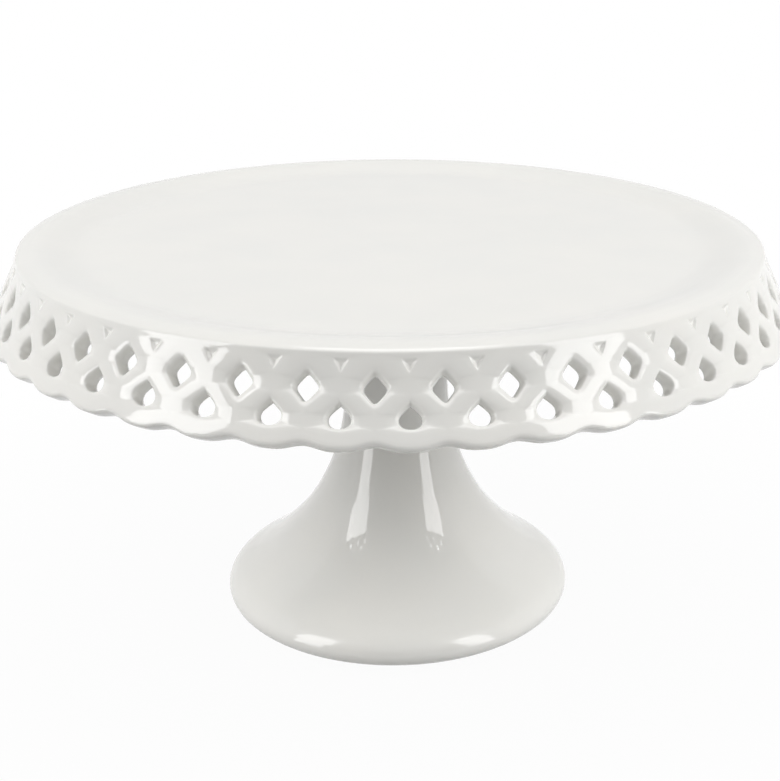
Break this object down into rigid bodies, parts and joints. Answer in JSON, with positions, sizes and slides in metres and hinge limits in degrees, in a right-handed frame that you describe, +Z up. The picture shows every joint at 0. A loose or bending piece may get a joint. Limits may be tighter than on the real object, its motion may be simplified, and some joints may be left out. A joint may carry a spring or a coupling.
{
  "type": "pedestal cake stand",
  "caption": "Round glazed pedestal cake stand: a shallow plate with a pierced lattice skirt and scalloped hem, screwed to a hollow trumpet foot.",
  "frame": {"origin": "on the axis of the stand, in the plane that the foot ring stands on", "axes": "+Z up the axis towards the plate; the stand is round, so +X and +Y are free"},
  "size_m": [0.2806, 0.2806, 0.143],
  "materials": {
    "white_glaze": "clear gloss glaze over white porcelain",
    "clear_silicone": "satin silicone",
    "brass": "turned and knurled",
    "black_rubber": "matt",
    "zinc_plated_steel": "bright zinc plate"
  },
  "bodies": {
    "root": {"plate": "white_glaze", "pedestal": "white_glaze", "seat_gasket": "clear_silicone", "threaded_insert": "brass", "rubber_washer": "black_rubber", "steel_washer": "zinc_plated_steel", "clamp_screw": "zinc_plated_steel"}
  },
  "joints": []
}
